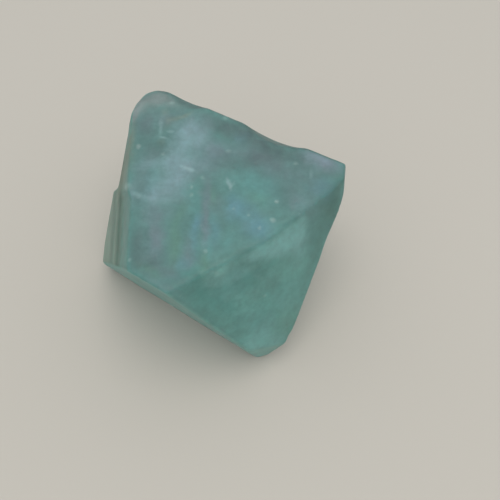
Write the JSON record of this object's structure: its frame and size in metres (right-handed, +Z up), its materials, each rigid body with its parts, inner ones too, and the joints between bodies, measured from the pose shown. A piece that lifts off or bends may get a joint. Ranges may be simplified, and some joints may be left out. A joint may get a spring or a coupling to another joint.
{
  "type": "rough fluorite",
  "caption": "Rough fluorite about 34 mm across: a worn, frosted, cloudy sea-green cleavage octahedron lying on one flat face.",
  "frame": {"origin": "on the surface that the stone lies on, under the middle of its bounding box", "axes": "+Z up, square to the flat face it lies on; +X to the right and +Y away from a viewer who faces the bowed front face"},
  "size_m": [0.034, 0.0332, 0.0241],
  "materials": {
    "fluorite": "frosted, cloudy, see-through where thin"
  },
  "bodies": {
    "root": {"fluorite_crystal": "fluorite"}
  },
  "joints": []
}
